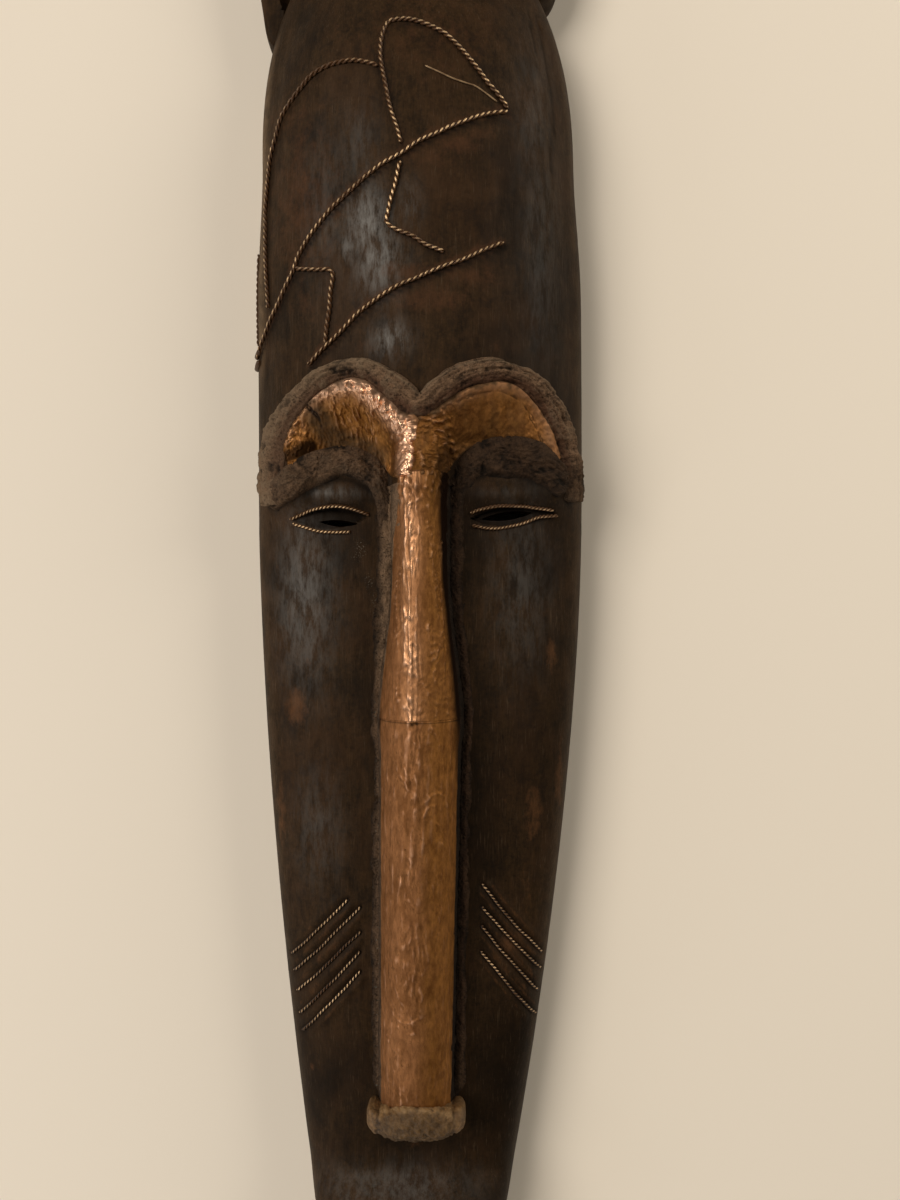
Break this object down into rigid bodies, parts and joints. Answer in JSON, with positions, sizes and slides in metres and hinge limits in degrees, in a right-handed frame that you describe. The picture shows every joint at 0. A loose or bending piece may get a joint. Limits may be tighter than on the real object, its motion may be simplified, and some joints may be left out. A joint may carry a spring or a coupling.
{
  "type": "carved wall mask",
  "caption": "Long carved wooden mask with a rounded forehead, resin brow, copper sheet on sockets and nose, and twisted copper wire; hollow flat back.",
  "frame": {"origin": "under the middle of the bounding box, on the plane that the flat back rim lies on", "axes": "+Y runs up the mask to its crown, +X to the right of a viewer who faces it, +Z out of the face"},
  "size_m": [0.1882, 0.8646, 0.0848],
  "materials": {
    "wood": "stained dark, satin where rubbed",
    "resin": "rough dried putty",
    "tip_resin": "lumpy, greenish brown",
    "copper_sheet": "crumpled thin copper, toned brown",
    "copper_wire": "twisted copper, worn bright on top"
  },
  "bodies": {
    "root": {"mask_body": "wood", "brow_resin": "resin", "left_nose_resin": "resin", "right_nose_resin": "resin", "nose_tip_resin": "tip_resin", "left_socket_copper": "copper_sheet", "right_socket_copper": "copper_sheet", "upper_nose_copper": "copper_sheet", "lower_nose_copper": "copper_sheet", "crest_loop_wire": "copper_wire", "neck_wire": "copper_wire", "long_diagonal_wire": "copper_wire", "outer_loop_wire": "copper_wire", "bracket_wire": "copper_wire", "lower_diagonal_wire": "copper_wire", "left_side_wire": "copper_wire", "thin_inner_wire": "copper_wire", "left_upper_eye_wire": "copper_wire", "left_lower_eye_wire": "copper_wire", "right_upper_eye_wire": "copper_wire", "right_lower_eye_wire": "copper_wire", "left_cheek_wire_1": "copper_wire", "left_cheek_wire_2": "copper_wire", "left_cheek_wire_3": "copper_wire", "left_cheek_wire_4": "copper_wire", "left_cheek_wire_5": "copper_wire", "right_cheek_wire_1": "copper_wire", "right_cheek_wire_2": "copper_wire", "right_cheek_wire_3": "copper_wire", "right_cheek_wire_4": "copper_wire"}
  },
  "joints": []
}
